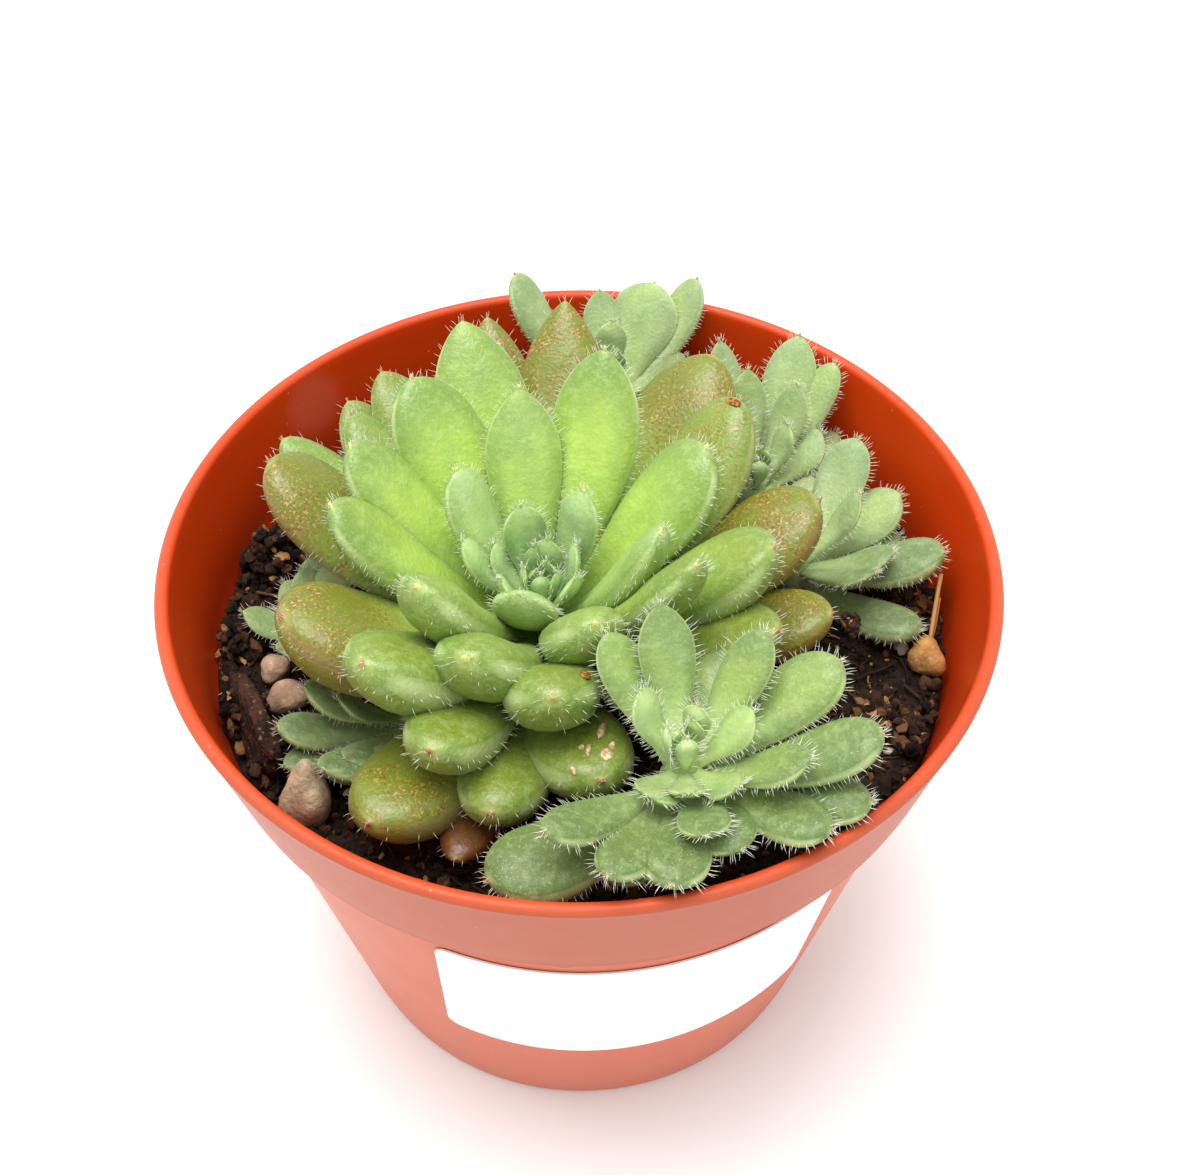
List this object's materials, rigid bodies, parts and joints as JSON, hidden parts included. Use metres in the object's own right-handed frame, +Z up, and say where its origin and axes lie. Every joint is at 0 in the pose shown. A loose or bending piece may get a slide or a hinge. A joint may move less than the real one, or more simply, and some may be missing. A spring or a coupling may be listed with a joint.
{
  "type": "potted rosette succulent",
  "caption": "Low clump of hairy-edged fleshy leaf rosettes in dark potting soil, in a round collared terracotta-coloured plastic nursery pot with a blank paper label.",
  "frame": {"origin": "centre of the pot's flat underside", "axes": "+Z up along the pot's axis; -Y towards the label and the smaller front rosette; +X to the right as seen from there"},
  "size_m": [0.105, 0.105, 0.0951],
  "materials": {
    "pot_plastic": "satin moulded plastic, terracotta orange",
    "label_paper": "smooth white paper, blank",
    "potting_soil": "loose peat and fine bark, matte",
    "leaf_green": "satin leaf skin, green with reddish older tips",
    "leaf_pale": "matte downy leaf skin, pale grey green",
    "pale_stone": "rough matte",
    "tan_stone": "rough matte",
    "pumice": "rough porous matte",
    "bark": "rough split bark"
  },
  "bodies": {
    "root": {"pot": "pot_plastic", "label": "label_paper", "soil": "potting_soil", "rosette_main": "leaf_green", "rosette_front": "leaf_pale", "rosette_back_right": "leaf_pale", "rosette_right": "leaf_pale", "rosette_back": "leaf_pale", "rosette_left": "leaf_pale", "rosette_front_left": "leaf_pale", "pebble_front_left": "pale_stone", "pebble_right": "tan_stone", "pumice_left_large": "pumice", "pumice_left_small": "pumice", "bark_chip": "bark"}
  },
  "joints": []
}
